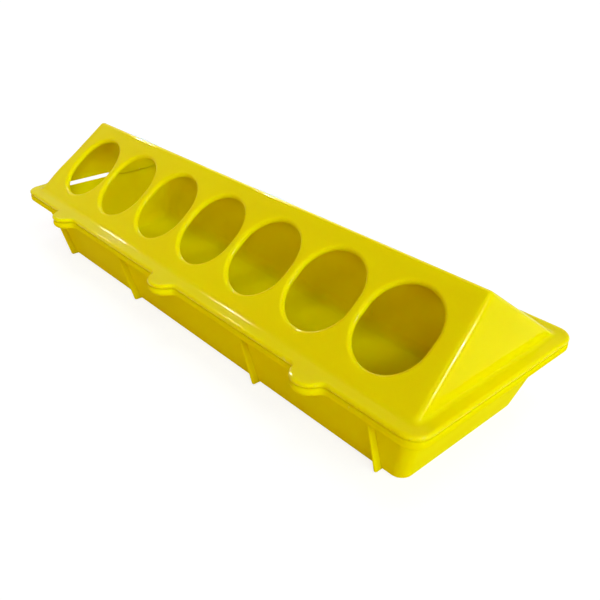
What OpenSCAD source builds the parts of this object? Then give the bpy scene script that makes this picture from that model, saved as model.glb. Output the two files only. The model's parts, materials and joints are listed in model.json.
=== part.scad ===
// Trough feeder for chicks: a shallow tub with a ridged lid that has a row of feeding holes in each slope.
// Millimetres, +Z up, X along the feeder. The origin is on the ground under the middle of the trough.

/* [Rim] */
// Length over the rims of lid and trough
rim_l = 400; // [300:1:600]
// Width over the rims, without the ears
rim_w = 130; // [110:1:180]
// Corner radius of both rims, seen from above
rim_corner_r = 10; // [9:0.5:20]
// How far the lid's rim stands out from the foot of the roof
rim_overhang = 8.4; // [6:0.1:12]

/* [Trough] */
// Height of the trough's rim above the ground
trough_h = 45.9; // [35:0.1:70]
// How far the trough's rim stands out from the top of its walls
trough_overhang = 6; // [5:0.1:10]
// How much each long wall leans in between rim and ground
side_lean = 11.4; // [2:0.1:14]
// How much each end wall leans in between rim and ground
end_lean = 13.3; // [2:0.1:20]
// Wall thickness of both mouldings
wall = 2.2; // [1.6:0.1:2.8]
// Thickness of the trough's floor
floor_t = 2.2; // [1.6:0.1:4]
// Corner radius of the trough's walls
wall_corner_r = 7; // [6:0.5:14]
// Rounding between the trough's floor and walls, inside
floor_fillet = 7; // [2:0.5:12]
// Rounding under the trough's walls, outside
foot_r = 2; // [1:0.1:4]

/* [Trough rim] */
// Depth of the trough's rim, from its top to the end of its turned-down lip
rim_h = 4.9; // [4:0.1:9]
// Thickness of the rim's flat part
rim_t = 2.4; // [1.6:0.1:3.2]
// Thickness of the turned-down lip
lip_t = 2.2; // [1.6:0.1:3]
// Rounding of the rims' edges
edge_r = 1.1; // [0.4:0.1:1.4]

/* [Ribs] */
// Thickness of a rib
rib_t = 1.7; // [1.2:0.1:4]
// How far a rib stands out from the wall at the ground
rib_foot = 4.6; // [2:0.1:7]
// How far a rib stands out from the wall under the rim
rib_head = 2.4; // [1:0.1:3.4]
// Distance of the outer ribs from the rim's ends
rib_inset = 33.4; // [30:0.1:48]
// Distance of the inner ribs from the middle
rib_inner_x = 67.8; // [40:0.1:75]

/* [Ears on the front] */
// Radius of an ear
ear_r = 11; // [9:0.1:14]
// How far an ear's centre lies inside the rim's edge
ear_setback = 2; // [0:0.1:3]
// Distance of the outer ears from the rim's ends
ear_inset = 69.3; // [60:0.1:85]
// Diameter of the pegs under the lid's ears
peg_d = 5; // [3:0.1:7]
// Length of the pegs
peg_l = 4; // [2:0.1:5]
// Radial clearance of a peg in the trough's ear, which lets it swing out with the lid
peg_clearance = 0.35; // [0.2:0.01:0.6]

/* [Hinge at the back] */
// Distance of the hinge axis behind the rims
hinge_reach = 4; // [3.8:0.1:7]
// Diameter of the pins between the trough's lugs
hinge_pin_d = 3; // [2.6:0.1:4.4]
// Radial clearance of a pin in the lid's hook
hinge_clearance = 0.08; // [0.05:0.01:0.1]
// Thickness of a hook round its pin
hook_t = 1.6; // [1.4:0.1:2.3]
// Width of a hook
hook_w = 10; // [6:0.5:16]
// Mouth through which a hook snaps on to its pin
hook_mouth = 2.4; // [2.1:0.1:3]
// Gap between a hook and the lugs beside it
hinge_play = 0.4; // [0.2:0.1:1]
// Thickness of a lug
lug_t = 2.4; // [1.6:0.1:4]
// Radius of a lug's end
lug_r = 2.6; // [2.4:0.1:3.8]
// How far hooks and lugs run into the rims
hinge_root = 3; // [2:0.1:5]

/* [Lid] */
// Thickness of the lid's rim
flange_t = 3; // [2.6:0.1:4]
// Height of the ridge above the lid's rim
roof_h = 42.5; // [38:0.1:60]
// How far the ridge's ends lie in from the foot of the gables
gable_lean = 6.1; // [2:0.1:14]
// Rounding of the roof's sloping edges at their foot
hip_r = 4.5; // [3.5:0.1:7]
// Rounding of the ridge
ridge_r = 3; // [2.9:0.1:5]

/* [Feeding holes] */
// Width of a hole along the feeder
hole_w = 43.3; // [32:0.1:45]
// Length of a hole up the slope
hole_l = 49.9; // [44:0.1:51]
// Width of the bridge between neighbouring holes
bridge_w = 7.6; // [6:0.1:20]
// Least distance from the outer holes to the ridge's ends
hole_margin = 8; // [7:0.5:20]
// How far the holes sit below the middle of the slope
hole_drop = 0.3; // [0:0.1:1.5]
// Rounding of a hole's edge
hole_edge_r = 2.4; // [2:0.1:3.2]
// Depth of the lip around a hole, from the roof's outside
hole_lip = 3; // [2.8:0.1:6]
// Width of the lip around a hole
hole_lip_w = 2.4; // [2:0.1:4]

/* [Hidden] */
$fn = 64;
plastic = [0.93, 0.85, 0.02];
// Facets of a rounded corner's full circle, height of a thin slice, overshoot of a cut
corner_fn = 32;
slice = 0.1;
over = 1;
// Steps of the arcs round a hole's edge and under the tub's walls, in degrees
edge_step = 15;
tub_step = 30;
// Foot of the roof, and top and foot of the trough's walls
roof_l = rim_l - 2 * rim_overhang;
roof_w = rim_w - 2 * rim_overhang;
tub_l = rim_l - 2 * trough_overhang;
tub_w = rim_w - 2 * trough_overhang;
foot_l = tub_l - 2 * end_lean;
foot_w = tub_w - 2 * side_lean;
// The roof: the lid's top face, the balls that round the ridge's ends, and the slope between them
lid_top = trough_h + flange_t;
ridge_ball_z = lid_top + roof_h - ridge_r;
ridge_ball_x = roof_l / 2 - gable_lean - ridge_r;
slope_span = [roof_w / 2, ridge_ball_z - lid_top];
slope_a = atan2(slope_span[1], slope_span[0]) + asin(ridge_r / norm(slope_span));
slope_l = roof_w / 2 / cos(slope_a);
// Feeding holes along one slope
hole_pitch = hole_w + bridge_w;
hole_count = floor((2 * (ridge_ball_x + ridge_r) - 2 * hole_margin + bridge_w) / hole_pitch);
hole_up = slope_l / 2 - hole_drop;
// The hole's edge starts a little above the slope, so that its curve crosses the face cleanly
hole_crown = 0.1;
// The lip starts inside the roof's wall
lip_start = wall / 2;
// Places along the long sides
ear_xs = [for (i = [-1 : 1]) i * (rim_l / 2 - ear_inset)];
rib_xs = [for (s = [-1, 1], x = [rim_l / 2 - rib_inset, rib_inner_x]) s * x];
ear_y = rim_w / 2 - ear_setback;
// Hinge axis, which lies in the plane between trough and lid
hinge_y = rim_w / 2 + hinge_reach;
hook_r = hinge_pin_d / 2 + hinge_clearance + hook_t;
// Share of a lug's end that its arm stands under
lug_arm = 0.8;
// Least radius that a rounding keeps where a thick wall uses it up
least_r = 0.3;

// Children at the four corners of a rectangle
module at_corners(l, w) {
    for (x = [-l / 2, l / 2], y = [-w / 2, w / 2])
        translate([x, y, 0]) children();
}

// Children on the front long side and mirrored on the back one
module both_sides() {
    children();
    mirror([0, 1, 0]) children();
}

// Round bar along X, centred
module bar(d, l) {
    rotate([0, 90, 0]) cylinder(d = d, h = l, center = true);
}

// Disc with both edges bevelled
module bevelled_disc(r, h, bevel) {
    rotate_extrude()
        polygon([[0, 0], [r - bevel, 0], [r, bevel], [r, h - bevel], [r - bevel, h], [0, h]]);
}

// Flat plate with rounded corners and bevelled edges, standing on z = 0
module rim_plate(l, w, h, r, bevel) {
    hull() at_corners(l - 2 * r, w - 2 * r) bevelled_disc(r, h, bevel, $fn = corner_fn);
}

// Solid tub from z0 to z1 that leans out by lean = [x, y] and has its lower edge rounded
module tub(l, w, lean, z0, z1, r, edge) {
    hull() {
        for (a = [0 : tub_step : 90]) {
            z = z0 + edge * (1 - cos(a));
            grow = lean * (z - z0) / (z1 - z0);
            inset = edge * (1 - sin(a));
            translate([0, 0, z])
                at_corners(l + 2 * (grow[0] - inset - r), w + 2 * (grow[1] - inset - r))
                    cylinder(r = r, h = slice, $fn = corner_fn);
        }
        translate([0, 0, z1 - slice])
            at_corners(l + 2 * (lean[0] - r), w + 2 * (lean[1] - r))
                cylinder(r = r, h = slice, $fn = corner_fn);
    }
}

// Solid under the roof, drawn in from the outside by a wall of the given thickness, down to z0
module roof(inset, z0) {
    r = max(hip_r - inset, least_r);
    hull() {
        translate([0, 0, z0])
            at_corners(roof_l - 2 * (inset + r), roof_w - 2 * (inset / sin(slope_a) + r))
                cylinder(r = r, h = lid_top - z0, $fn = corner_fn);
        for (x = [-ridge_ball_x, ridge_ball_x])
            translate([x, 0, ridge_ball_z]) sphere(r = max(ridge_r - inset, least_r), $fn = corner_fn);
    }
}

// Sweep of a profile round a feeding hole: across is measured from the hole's axis, up from the roof's face
module round_hole(profile) {
    straight = hole_l - hole_w;
    far_side = [for (i = [len(profile) - 1 : -1 : 0]) [-profile[i][0], profile[i][1]]];
    for (s = [0, 180])
        rotate(s) translate([0, straight / 2, 0]) rotate_extrude(angle = 180) polygon(profile);
    rotate([90, 0, 0])
        linear_extrude(straight, center = true) polygon(concat(profile, far_side));
}

// Children at each feeding hole of the front slope, with z standing out of the roof
module at_holes() {
    for (i = [0 : hole_count - 1])
        translate([(i - (hole_count - 1) / 2) * hole_pitch, -roof_w / 2, lid_top])
            rotate([slope_a, 0, 0]) translate([0, hole_up, 0]) children();
}

// What a feeding hole takes away: its opening, and the rounding of its edge
module hole_cut() {
    r = hole_w / 2;
    edge = [for (a = [0 : edge_step : 90])
        [r + hole_edge_r * (1 - cos(a)), hole_crown - hole_edge_r * (1 - sin(a))]];
    round_hole(concat([[0, -hole_lip - over], [r, -hole_lip - over]], edge,
        [[r + hole_edge_r + over, hole_crown + over], [0, hole_crown + over]]));
}

// Lip that stiffens the edge of a feeding hole on the inside of the roof
module hole_rim() {
    lip_r = hole_w / 2 + hole_lip_w;
    round_hole([[0, -hole_lip], [lip_r, -hole_lip], [lip_r, -lip_start], [0, -lip_start]]);
}

// Upright rib under the rim on the front long side, standing on the ground
module rib(x) {
    wall_mid_top = tub_w / 2 - wall / 2;
    wall_mid_foot = foot_w / 2 - wall / 2;
    translate([x + rib_t / 2, 0, 0]) rotate([90, 0, -90])
        linear_extrude(rib_t)
            polygon([[wall_mid_foot - foot_r, 0], [foot_w / 2 + rib_foot, 0],
                [tub_w / 2 + rib_head, trough_h - rim_h], [tub_w / 2 + rib_head, trough_h - rim_t / 2],
                [wall_mid_top, trough_h - rim_t / 2]]);
}

// Rim round the trough: a flat flange with a turned-down lip
module trough_rim() {
    translate([0, 0, trough_h - rim_h])
        difference() {
            rim_plate(rim_l, rim_w, rim_h, rim_corner_r, edge_r);
            translate([0, 0, -over])
                rim_plate(rim_l - 2 * lip_t, rim_w - 2 * lip_t, rim_h - rim_t + over,
                    rim_corner_r - lip_t, slice);
        }
}

// Children at each ear of the front long side
module at_ears() {
    for (x = ear_xs)
        translate([x, -ear_y, 0]) children();
}

// Children at each hinge on the back, opposite the ears, with the axis as their origin
module at_hinges() {
    for (x = ear_xs)
        translate([x, hinge_y, trough_h]) children();
}

// Pair of lugs behind the trough's rim, with the pin between them
module hinge_pin() {
    arm_l = hinge_reach + hinge_root;
    lug_x = hook_w / 2 + hinge_play;
    bar(hinge_pin_d, 2 * lug_x + lug_t);
    for (s = [-1, 1])
        translate([s * (lug_x + lug_t / 2), 0, 0]) {
            bar(2 * lug_r, lug_t);
            translate([-lug_t / 2, -arm_l, -lug_arm * lug_r]) cube([lug_t, arm_l, lug_arm * lug_r]);
        }
}

// Hook behind the lid's rim that turns on the pin
module hinge_hook() {
    arm_l = hinge_reach + hinge_root;
    difference() {
        union() {
            bar(2 * hook_r, hook_w);
            translate([-hook_w / 2, -arm_l, 0]) cube([hook_w, arm_l, flange_t]);
        }
        bar(hinge_pin_d + 2 * hinge_clearance, hook_w + 2 * over);
        translate([-hook_w / 2 - over, -hook_mouth / 2, -hook_r - over])
            cube([hook_w + 2 * over, hook_mouth, hook_r + over]);
    }
}

module trough() {
    lean = [end_lean, side_lean];
    inner_lean = lean * (trough_h - floor_t) / trough_h;
    inner_l = tub_l - 2 * (wall + inner_lean[0]);
    inner_w = tub_w - 2 * (wall + inner_lean[1]);
    inner_r = max(wall_corner_r - wall, least_r);
    color(plastic)
        difference() {
            union() {
                tub(foot_l, foot_w, lean, 0, trough_h, wall_corner_r, foot_r);
                trough_rim();
                both_sides()
                    for (x = rib_xs)
                        rib(x);
                at_ears() translate([0, 0, trough_h - rim_h]) bevelled_disc(ear_r, rim_h, edge_r);
                at_hinges() hinge_pin();
            }
            tub(inner_l, inner_w, inner_lean, floor_t, trough_h + slice, inner_r, floor_fillet);
            at_ears() translate([0, 0, trough_h - rim_h - over])
                cylinder(d = peg_d + 2 * peg_clearance, h = rim_h + 2 * over);
        }
}

module lid() {
    color(plastic)
        difference() {
            union() {
                difference() {
                    union() {
                        roof(0, trough_h + flange_t / 2);
                        translate([0, 0, trough_h]) rim_plate(rim_l, rim_w, flange_t, rim_corner_r, edge_r);
                        at_ears() {
                            translate([0, 0, trough_h]) bevelled_disc(ear_r, flange_t, edge_r);
                            translate([0, 0, trough_h - peg_l])
                                cylinder(d = peg_d, h = peg_l + flange_t / 2);
                        }
                        at_hinges() hinge_hook();
                    }
                    roof(wall, trough_h - over);
                }
                both_sides() at_holes() hole_rim();
            }
            both_sides() at_holes() hole_cut();
        }
}

trough();
lid();
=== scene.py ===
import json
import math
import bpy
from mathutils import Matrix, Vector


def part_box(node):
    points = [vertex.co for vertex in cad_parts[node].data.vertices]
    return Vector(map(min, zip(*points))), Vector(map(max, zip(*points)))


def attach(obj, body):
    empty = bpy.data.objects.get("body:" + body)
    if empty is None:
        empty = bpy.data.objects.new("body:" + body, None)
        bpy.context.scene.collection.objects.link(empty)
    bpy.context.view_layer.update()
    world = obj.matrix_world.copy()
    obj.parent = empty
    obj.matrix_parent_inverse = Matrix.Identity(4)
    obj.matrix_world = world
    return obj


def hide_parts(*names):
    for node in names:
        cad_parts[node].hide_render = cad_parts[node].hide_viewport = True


bl_info = {
    "name": "Trough feeder",
    "version": (1, 0, 0),
    "blender": (4, 5, 0),
    "location": "3D View > Sidebar > Feeder",
    "description": "Builds a yellow plastic trough feeder with a ridged flip-top lid",
    "category": "Object",
}

import bmesh
import bpy
from bpy.props import FloatProperty, FloatVectorProperty, IntProperty, PointerProperty
from mathutils import Euler, Vector

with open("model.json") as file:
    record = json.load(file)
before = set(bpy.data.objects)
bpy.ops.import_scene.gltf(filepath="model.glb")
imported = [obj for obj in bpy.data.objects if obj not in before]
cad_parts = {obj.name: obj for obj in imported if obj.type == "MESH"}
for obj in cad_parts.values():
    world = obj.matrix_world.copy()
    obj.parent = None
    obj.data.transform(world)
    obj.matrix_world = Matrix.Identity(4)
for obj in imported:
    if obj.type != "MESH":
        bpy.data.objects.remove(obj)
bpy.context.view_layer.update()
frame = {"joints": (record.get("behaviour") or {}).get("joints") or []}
LID_LOW, LID_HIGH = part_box("lid")
HINGE = Vector(frame["joints"][0]["pos_m"])
UP = Vector((0.0, 0.0, 1.0))

# How finely the skins are divided
HOLE_SIDE_STEPS = 18
HOLE_END_STEPS = 12
MARGIN_STEPS = 3
HIP_STEPS = 6
GABLE_STEPS = 16
EDGE_STEPS = 5
FOOT_STEPS = 6
EAR_STEPS = 22
CORNER_STEPS = 12
PEG_STEPS = 28
STRAIGHT_STEP = 0.006
# Steps along the long and the short edges of the trough's walls
TUB_STEPS = (48, 14)
# Points along a hole's ends are spread over twice this angle, in degrees
END_SPREAD = 36
# Faces that meet at a greater angle, in degrees, keep a sharp edge
SHARP_ANGLE = 38
# Least divisor at a corner of an outline that is drawn in, so that no sharp corner shoots out
MITRE_LIMIT = 0.2
# Coplanar faces are kept this far apart before solids are joined
STAND_OFF = 0.0001
# Points closer than this are one point
WELD = 1e-6
# Bevels of the small moulded details
PLATE_BEVEL = 0.0003
PIN_BEVEL = 0.0002
PEG_BEVEL = 0.0005
# Largest share of an ear's thickness that one rounding takes, and share of its radius over which it grows
PILLOW_LIMIT = 0.48
PILLOW_REACH = 0.4
# Width of the block behind an ear, in radii of the ear, and how far a bore's cutter runs past the rim
EAR_BLOCK = 1.7
BORE_REACH = 0.02
# Depth of a lug's arm, as a share of its end's radius, and where the round end stops, in degrees
LUG_ARM = 0.8
LUG_TURN = 178
# Bend of the left end: where it begins and how soon it is full, as shares of the rim's length
BEND_START = 0.43
BEND_REACH = 0.04
# Power by which the lid's bend dies out towards the ridge
BEND_FADE = 4
# Gape of the rims there: where it grows, where it fades and over how much, as shares of the rim's width
GAPE_START = -0.4
GAPE_FADE = -0.0125
GAPE_REACH = 0.125
# Moulded plastic: refraction, how far red, green and blue light spread in it, and the depth of its grain
PLASTIC_IOR = 1.49
GLOW_RADIUS = (1.0, 0.7, 0.05)
GLOW_DEPTH = 0.006
GRAIN_STRENGTH = 0.10
GRAIN_DEPTH = 0.0006
# Floor: half its width, how far it lies under the ground, and its colour and own glow as they are seen
FLOOR_REACH = 6.0
FLOOR_DROP = 0.0002
FLOOR_SEEN = (0.25, 0.27, 0.28, 1.0)
FLOOR_GLOW = 0.82
# Light from all around, and the white that is seen behind the feeder
WORLD_LIGHT = (1.0, 0.63, 0.64, 1.0)
WORLD_STRENGTH = 0.305
BACKDROP = (1.0, 1.0, 1.0, 1.0)
# Camera: width of its sensor in millimetres, and the nearest and farthest it sees
SENSOR_WIDTH = 36.0
CLIP_START, CLIP_END = 0.01, 50.0
# Soft lamps of the studio: azimuth from +X towards +Y, elevation, and light
LAMP_AIM = Vector((0.0, 0.0, 0.04))
LAMP_DISTANCE = 1.3
LAMP_SPREAD = 20
SOFT_LAMPS = (
    ("key", 335, 38, (0.235, 0.285, 0.25)),
    ("key_low", 0, 15, (0.20, 0.245, 0.22)),
    ("key_high", 0, 45, (0.14, 0.175, 0.16)),
    ("top", 0, 80, (0.15, 0.145, 0.14)),
    ("left_low", 135, 15, (0.13, 0.16, 0.14)),
    ("left_high", 135, 45, (0.04, 0.03, 0.03)),
    ("back_right", 45, 15, (0.05, 0.05, 0.05)),
    ("front_right_low", 315, 15, (0.046, 0.033, 0.03)),
    ("front_right_high", 315, 45, (0.07, 0.05, 0.05)),
    ("front", 270, 15, (0.046, 0.033, 0.03)),
)
# Lamps of the highlights: azimuth, elevation, width, height and power in watts
STRIP_LAMPS = (
    ("flange_strip", 159, 21, 0.05, 0.03, 0.9),
    ("ridge_left_strip", 173, 30.6, 0.12, 0.05, 3.0),
    ("ridge_strip", 160, 42, 0.12, 0.03, 8.0),
    ("right_strip", 1, 27, 0.16, 0.14, 70.0),
)


def size(name, description, default):
    """A length that a user may change, in metres."""
    return FloatProperty(
        name=name, description=description, default=default, min=0.0, precision=5,
        subtype="DISTANCE", unit="LENGTH",
    )


def share_value(name, description, default):
    """A share that a user may change, between 0 and 1."""
    return FloatProperty(
        name=name, description=description, default=default, min=0.0, max=1.0, subtype="FACTOR")


def colour_value(name, description, default):
    """A colour that a user may change."""
    return FloatVectorProperty(
        name=name, description=description, default=default, size=3, min=0.0, max=1.0, subtype="COLOR")


class FeederRimSizes(bpy.types.PropertyGroup):
    """Sizes of the rims, where lid and trough meet"""

    length: size("Length", "Length over the rims of lid and trough", LID_HIGH.x - LID_LOW.x)
    width: size("Width", "Width over the rims, without the ears", 0.130)
    corner: size("Corner radius", "Corner radius of both rims, seen from above", 0.010)
    overhang: size("Overhang", "How far the lid's rim stands out from the foot of the roof", 0.0084)
    parting: size("Parting height", "Height of the plane between lid and trough", HINGE.z)
    lid_thickness: size("Lid rim", "Thickness of the lid's rim", 0.003)
    trough_depth: size("Trough rim", "Depth of the trough's rim with its turned-down lip", 0.0049)
    trough_thickness: size("Trough rim plate", "Thickness of the flat part of the trough's rim", 0.0024)
    lip: size("Lip", "Thickness of the turned-down lip", 0.0022)
    lid_edge: size("Lid edge", "Rounding of the lid rim's upper edge", 0.0016)
    parting_edge: size("Parting edge", "Rounding of both rims where they meet", 0.0013)
    lip_edge: size("Lip edge", "Rounding under the trough's lip", 0.0015)
    ear: size("Ear radius", "Radius of the ears on the front", 0.01095)
    ear_setback: size("Ear setback", "How far an ear's centre lies inside the rim's edge", 0.002)
    ear_inset: size("Ear inset", "Distance of the outer ears from the rim's ends", 0.0693)
    ear_fillet: size("Ear fillet", "Rounding between an ear and the rim", 0.0034)
    ear_edge: size("Ear edge", "Rounding of an ear's edges, as far as its thickness allows", 0.0022)
    peg: size("Peg diameter", "Diameter of the pegs under the lid's ears", 0.005)
    peg_length: size("Peg length", "Length of the pegs", 0.004)
    peg_clearance: size("Peg clearance", "Radial clearance of a peg in the trough's ear", 0.00035)


class FeederTroughSizes(bpy.types.PropertyGroup):
    """Sizes of the trough below its rim"""

    wall: size("Wall", "Thickness of the walls and the floor", 0.0022)
    overhang: size("Overhang", "How far the trough's rim stands out from the top of its walls", 0.006)
    side_lean: size("Side lean", "How much each long wall leans in between rim and ground", 0.0114)
    end_lean: size("End lean", "How much each end wall leans in between rim and ground", 0.0133)
    corner: size("Corner radius", "Corner radius of the walls", 0.007)
    floor_fillet: size("Floor fillet", "Rounding between floor and walls, inside", 0.007)
    foot: size("Foot rounding", "Rounding under the walls, outside", 0.002)
    rib: size("Rib thickness", "Thickness of a rib", 0.0017)
    rib_edge: size("Rib edge", "Rounding of a rib's edges", 0.0008)
    rib_foot: size("Rib foot", "How far a rib stands out from the wall at the ground", 0.0046)
    rib_head: size("Rib head", "How far a rib stands out from the wall under the rim", 0.0024)
    rib_inset: size("Outer ribs", "Distance of the outer ribs from the rim's ends", 0.0334)
    rib_inner: size("Inner ribs", "Distance of the inner ribs from the middle", 0.0678)
    droop: size("End droop", "How far the left rim hangs down under the lifted end of the lid", 0.0034)


class FeederLidSizes(bpy.types.PropertyGroup):
    """Sizes of the ridged lid above its rim"""

    ridge_top: size("Ridge height", "Height of the ridge above the ground", LID_HIGH.z)
    wall: size("Wall", "Thickness of the roof", 0.0022)
    gable_lean: size("Gable lean", "How far the ridge's ends lie in from the foot of the gables", 0.0061)
    hip: size("Hip rounding", "Rounding of the roof's sloping edges at their foot", 0.0032)
    ridge: size("Ridge rounding", "Rounding of the ridge", 0.003)
    foot_fillet: size("Foot fillet", "Reach of the soft hollow between roof and rim", 0.0024)
    hole_width: size("Hole width", "Width of a feeding hole along the feeder", 0.0433)
    hole_length: size("Hole length", "Length of a feeding hole up the slope", 0.0499)
    hole_bridge: size("Bridge", "Width of the bridge between neighbouring holes", 0.0076)
    hole_drop: size("Hole drop", "How far the holes sit below the middle of the slope", 0.0003)
    hole_edge: size("Hole rounding", "Rounding of a hole's edge", 0.0024)
    hole_lip: size("Hole lip depth", "Depth of the lip around a hole, from the roof's outside", 0.003)
    hole_lip_width: size("Hole lip width", "Width of the lip around a hole", 0.0024)
    holes: IntProperty(
        name="Holes", description="Feeding holes in each slope", default=7, min=1, max=20)
    lift: size("End lift", "How far the lid's left end springs up in its middle", 0.0036)


class FeederHingeSizes(bpy.types.PropertyGroup):
    """Sizes of the hooks and pins at the back"""

    pin: size("Pin diameter", "Diameter of the pins between the trough's lugs", 0.003)
    clearance: size("Pin clearance", "Radial clearance of a pin in the lid's hook", 0.00008)
    hook: size("Hook thickness", "Thickness of a hook round its pin", 0.0016)
    hook_width: size("Hook width", "Width of a hook", 0.010)
    mouth: size("Hook mouth", "Mouth through which a hook snaps on to its pin", 0.0024)
    play: size("Play", "Gap between a hook and the lugs beside it", 0.0004)
    lug: size("Lug thickness", "Thickness of a lug", 0.0024)
    lug_end: size("Lug end", "Radius of a lug's end", 0.0026)
    root: size("Root", "How far hooks and lugs run into the rims", 0.003)


class FeederFinish(bpy.types.PropertyGroup):
    """Colours and surface of the moulded plastic"""

    plastic: colour_value("Plastic", "Colour of the pigmented plastic", (0.80, 0.72, 0.0))
    deep: colour_value("Deep tone", "Colour where the pigment lies thicker", (0.78, 0.685, 0.0))
    scuffed: colour_value("Scuffed", "Colour of rubbed edges and flash", (0.90, 0.84, 0.25))
    roughness: share_value("Roughness", "Mean roughness of the moulded skin", 0.065)
    lid_gloss: share_value("Lid gloss", "Specular level of the lid's polished skin", 0.03)
    trough_gloss: share_value("Trough gloss", "Specular level of the trough's duller skin", 0.0003)
    glow: share_value("Glow", "Share of the light that the plastic scatters inside its thin walls", 0.8)


class FeederStage(bpy.types.PropertyGroup):
    """Floor and camera"""

    floor: colour_value("Floor", "Colour of the floor, as it throws light back", (0.78, 0.70, 0.60))
    camera_place: FloatVectorProperty(
        name="Camera place", description="Where the camera stands", size=3, subtype="TRANSLATION",
        unit="LENGTH", default=(0.32754, -0.24146, 0.23943), precision=5)
    camera_turn: FloatVectorProperty(
        name="Camera turn", description="How the camera is turned", size=3, subtype="EULER",
        default=tuple(math.radians(a) for a in (56.757, -0.6268, 47.2839)), precision=5)
    lens: FloatProperty(
        name="Lens", description="Focal length on a sensor 36 mm wide", default=40.447, unit="CAMERA")
    shift: FloatVectorProperty(
        name="Shift", description="How far the picture lies off the lens's axis, as a share of its width",
        size=2, default=(-0.03326, 0.07126), precision=5)


# Curves and loops


def arc(centre, radius, start, end, steps, inward=False):
    """Points of an arc in the plane of the rim with their outward normals, angles in degrees."""
    sign = -1.0 if inward else 1.0
    found = []
    for i in range(steps + 1):
        a = math.radians(start + (end - start) * i / steps)
        way = Vector((math.cos(a), math.sin(a)))
        found.append((Vector(centre) + radius * way, sign * way))
    return found


def line(start, end, normal, steps=None):
    """Points between two ends of a straight edge, without the ends, in so many steps or in short ones."""
    start, end = Vector(start), Vector(end)
    steps = steps or max(1, round((end - start).length / STRAIGHT_STEP))
    return [(start.lerp(end, i / steps), Vector(normal)) for i in range(1, steps)]


def bend(start, corner, end, steps):
    """Points of a round bend from start to end, which are equally far from the corner."""
    half = (start - corner).angle(end - corner, math.pi) / 2
    weight = math.sin(half)
    found = []
    for i in range(steps + 1):
        t = i / steps
        a, b, c = (1 - t) ** 2, 2 * t * (1 - t) * weight, t ** 2
        found.append((a * start + b * corner + c * end) / (a + b + c))
    return found


def ease(t):
    """Smooth step from 0 to 1."""
    t = min(1.0, max(0.0, t))
    return t * t * (3 - 2 * t)


def quarter(steps):
    """Equal steps of a quarter turn: how far sine and cosine are from 1."""
    turns = [math.pi / 2 * i / steps for i in range(steps + 1)]
    return [(1 - math.sin(a), 1 - math.cos(a)) for a in turns]


def at_height(outline, inset, z):
    """A loop of the outline, drawn in by inset, at one height."""
    return [Vector((p.x - inset * n.x, p.y - inset * n.y, z)) for p, n in outline]


def box_outline(length, width, radius, steps=(None, None)):
    """Rounded rectangle, anticlockwise from its front edge, with the steps of its long and short edges."""
    x, y = length / 2 - radius, width / 2 - radius
    corners = [((x, -y), -90), ((x, y), 0), ((-x, y), 90), ((-x, -y), 180)]
    found = []
    for i, (centre, start) in enumerate(corners):
        way = math.radians(start)
        normal = Vector((math.cos(way), math.sin(way)))
        before = corners[i - 1][0]
        found += line(
            Vector(before) + radius * normal, Vector(centre) + radius * normal, normal, steps[i % 2])
        found += arc(centre, radius, start, start + 90, CORNER_STEPS)
    return found


def ear_places(rim):
    """Where the ears sit along the front, and the hinges along the back."""
    reach = rim.length / 2 - rim.ear_inset
    return [-reach, 0.0, reach]


def rim_outline(rim):
    """Outline of both rims with the ears on the front, anticlockwise."""
    x, y, r = rim.length / 2 - rim.corner, rim.width / 2 - rim.corner, rim.corner
    front = -rim.width / 2
    fillet, ear = rim.ear_fillet, rim.ear
    drop = rim.ear_setback + fillet
    reach = math.sqrt((ear + fillet) ** 2 - drop ** 2)
    turn = math.degrees(math.atan2(drop, reach))
    found = []
    last = Vector((-x, front))
    for place in ear_places(rim):
        start, end = Vector((place - reach, front)), Vector((place + reach, front))
        found += line(last, start, (0, -1))
        found += arc((start.x, front - fillet), fillet, 90, turn, EDGE_STEPS, inward=True)
        found += arc((place, front + rim.ear_setback), ear, 180 + turn, 360 - turn, EAR_STEPS)[1:-1]
        found += arc((end.x, front - fillet), fillet, 180 - turn, 90, EDGE_STEPS, inward=True)
        last = end
    found += line(last, (x, front), (0, -1))
    for centre, start, normal, far in (
        ((x, -y), -90, (1, 0), (rim.length / 2, y)),
        ((x, y), 0, (0, 1), (-x, rim.width / 2)),
        ((-x, y), 90, (-1, 0), (-rim.length / 2, -y)),
    ):
        bow = arc(centre, r, start, start + 90, CORNER_STEPS)
        found += bow + line(bow[-1][0], far, normal)
    return found + arc((-x, -y), r, 180, 270, CORNER_STEPS)


def rim_rows(rim, top, low, upper, lower):
    """Loops round a rim's edge from its upper to its lower face, rounded, and more so on the ears."""
    outline = rim_outline(rim)
    pillow = min(rim.ear_edge, PILLOW_LIMIT * (top - low))
    shares = [ease((-rim.width / 2 - p.y) / (PILLOW_REACH * rim.ear)) for p, _ in outline]
    found = []
    for edge, face, way, start in ((upper, top, -1, 90), (lower, low, 1, 0)):
        edges = [edge + (pillow - edge) * share for share in shares]
        for i in range(EDGE_STEPS + 1):
            a = math.radians(start - 90 * i / EDGE_STEPS)
            found.append([
                Vector((*(p - r * (1 - math.cos(a)) * n), face + r * (way + math.sin(a))))
                for (p, n), r in zip(outline, edges)])
    return found


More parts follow.
